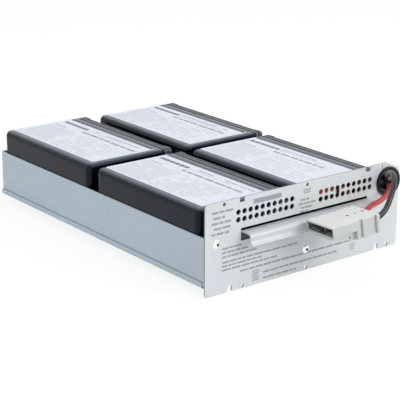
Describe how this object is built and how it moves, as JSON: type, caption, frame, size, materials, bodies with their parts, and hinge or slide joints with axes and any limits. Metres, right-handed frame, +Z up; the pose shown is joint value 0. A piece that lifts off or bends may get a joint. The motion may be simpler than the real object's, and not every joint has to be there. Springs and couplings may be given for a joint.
{
  "type": "ups battery cartridge",
  "caption": "Flat steel tray of sealed batteries with a vented front panel, a rolled pull lip and a two-pole power connector on short red and black leads.",
  "frame": {"origin": "bottom centre of the cartridge without its leads and connector, level with the front panel's bottom edge", "axes": "+X along the front panel to the cable side, +Y from the front panel to the tray's rear, +Z up"},
  "size_m": [0.2232, 0.3929, 0.0834],
  "materials": {
    "zinc_sheet": "satin zinc-plated sheet",
    "panel_sheet": "satin light grey",
    "rivet_metal": "satin",
    "black_plastic": "satin",
    "case_plastic": "fine matte moulding",
    "lid_plastic": "fine matte moulding",
    "label_film": "satin film",
    "tin_plate": "bright tin",
    "red_insulation": "satin",
    "black_insulation": "satin",
    "clear_sleeve": "translucent nylon",
    "connector_plastic": "fine matte moulding"
  },
  "bodies": {
    "root": {"base_pan": "zinc_sheet", "side_wall": "zinc_sheet", "front_panel": "panel_sheet", "panel_rivets": "rivet_metal", "grommet": "black_plastic", "battery_1_case": "case_plastic", "battery_1_lid": "lid_plastic", "battery_1_vent_cover": "lid_plastic", "battery_1_terminals": "tin_plate", "battery_1_label": "label_film", "battery_2_case": "case_plastic", "battery_2_lid": "lid_plastic", "battery_2_vent_cover": "lid_plastic", "battery_2_terminals": "tin_plate", "battery_2_label": "label_film", "battery_3_case": "case_plastic", "battery_3_lid": "lid_plastic", "battery_3_vent_cover": "lid_plastic", "battery_3_terminals": "tin_plate", "battery_3_label": "label_film", "battery_4_case": "case_plastic", "battery_4_lid": "lid_plastic", "battery_4_vent_cover": "lid_plastic", "battery_4_terminals": "tin_plate", "battery_4_label": "label_film", "terminal_receptacles": "clear_sleeve", "left_link_wire": "black_insulation", "right_link_wire": "black_insulation", "rear_link_wire": "black_insulation", "red_inner_lead": "red_insulation", "black_inner_lead": "black_insulation", "cable_tie": "black_plastic", "connector_housing": "connector_plastic", "connector_contacts": "tin_plate", "red_lead": "red_insulation", "black_lead": "black_insulation"}
  },
  "joints": []
}
